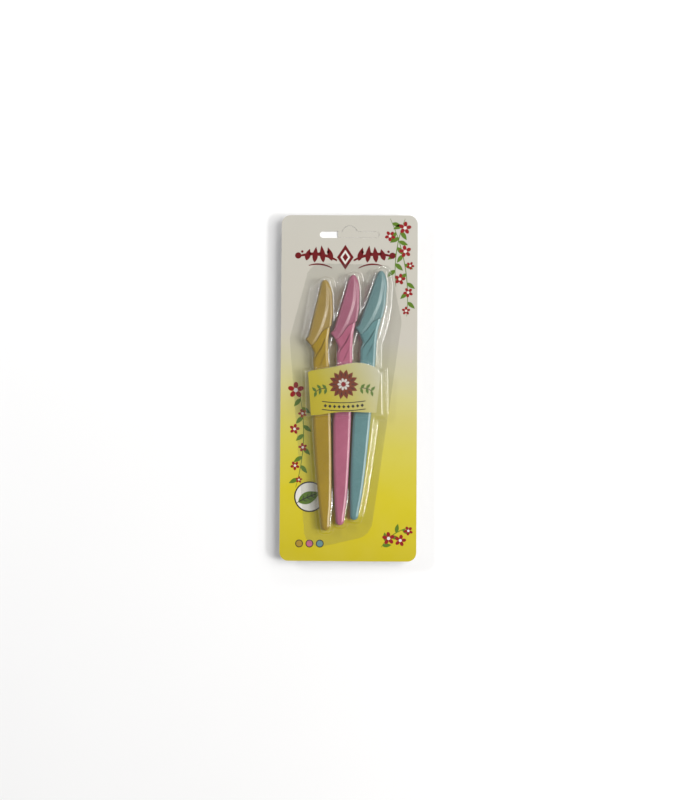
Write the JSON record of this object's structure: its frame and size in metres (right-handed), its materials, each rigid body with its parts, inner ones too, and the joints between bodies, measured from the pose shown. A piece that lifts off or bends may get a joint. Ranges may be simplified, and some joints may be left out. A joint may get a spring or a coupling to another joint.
{
  "type": "eyebrow razor set",
  "caption": "Carded blister pack: slim capped eyebrow razors in a fan under a clear formed shell, a bowed insert band, a card with a hang slot, steel blades with slotted safety covers",
  "frame": {"origin": "middle of the card's back face, the bottom centre of the bounding box", "axes": "+Z out of the card's face, +Y up the card towards the hang slot, +X to the right seen from the front"},
  "size_m": [0.082, 0.208, 0.0093],
  "materials": {
    "card_board": "coated board printed from warm grey at the top to yellow at the bottom, satin",
    "insert_board": "coated board printed from yellow to pale beige, satin",
    "clear_film": "clear thermoformed film with soft edges",
    "yellow_plastic": "moulded plastic, glossy",
    "pink_plastic": "moulded plastic, glossy",
    "teal_plastic": "moulded plastic, glossy",
    "blade_steel": "ground strip steel with a bright cutting edge",
    "cover_steel": "folded thin steel sheet"
  },
  "bodies": {
    "card": {"backing_card": "card_board"},
    "blister": {"blister_shell": "clear_film"},
    "insert": {"insert_band": "insert_board"},
    "yellow_razor": {"yellow_handle": "yellow_plastic", "yellow_blade": "blade_steel", "yellow_safety_cover": "cover_steel"},
    "pink_razor": {"pink_handle": "pink_plastic", "pink_blade": "blade_steel", "pink_safety_cover": "cover_steel"},
    "teal_razor": {"teal_handle": "teal_plastic", "teal_blade": "blade_steel", "teal_safety_cover": "cover_steel"},
    "yellow_cap_body": {"yellow_cap": "yellow_plastic"},
    "pink_cap_body": {"pink_cap": "pink_plastic"},
    "teal_cap_body": {"teal_cap": "teal_plastic"}
  },
  "joints": [
    {"name": "blister_lift", "type": "slide", "parent": "card", "child": "blister", "axis": [0, 0, 1], "range_m": [0, 0.2]},
    {"name": "insert_lift", "type": "slide", "parent": "card", "child": "insert", "axis": [0, 0, 1], "range_m": [0, 0.1]},
    {"name": "yellow_lift", "type": "slide", "parent": "card", "child": "yellow_razor", "axis": [0, 0, 1], "range_m": [0, 0.03]},
    {"name": "pink_lift", "type": "slide", "parent": "card", "child": "pink_razor", "axis": [0, 0, 1], "range_m": [0, 0.03]},
    {"name": "teal_lift", "type": "slide", "parent": "card", "child": "teal_razor", "axis": [0, 0, 1], "range_m": [0, 0.03]},
    {"name": "yellow_cap_pull", "type": "slide", "parent": "yellow_razor", "child": "yellow_cap_body", "axis": [0.2273, 0.9738, 0], "range_m": [0, 0.038]},
    {"name": "pink_cap_pull", "type": "slide", "parent": "pink_razor", "child": "pink_cap_body", "axis": [0.2823, 0.9593, 0], "range_m": [0, 0.038]},
    {"name": "teal_cap_pull", "type": "slide", "parent": "teal_razor", "child": "teal_cap_body", "axis": [0.3365, 0.9417, 0], "range_m": [0, 0.038]}
  ],
  "couplings": [
    {"joint": "insert_lift", "follows": "blister_lift", "ratio": 0.5},
    {"joint": "yellow_lift", "follows": "blister_lift", "ratio": 0.15},
    {"joint": "pink_lift", "follows": "blister_lift", "ratio": 0.15},
    {"joint": "teal_lift", "follows": "blister_lift", "ratio": 0.15},
    {"joint": "yellow_cap_pull", "follows": "blister_lift", "ratio": 0.19},
    {"joint": "pink_cap_pull", "follows": "blister_lift", "ratio": 0.19},
    {"joint": "teal_cap_pull", "follows": "blister_lift", "ratio": 0.19}
  ]
}
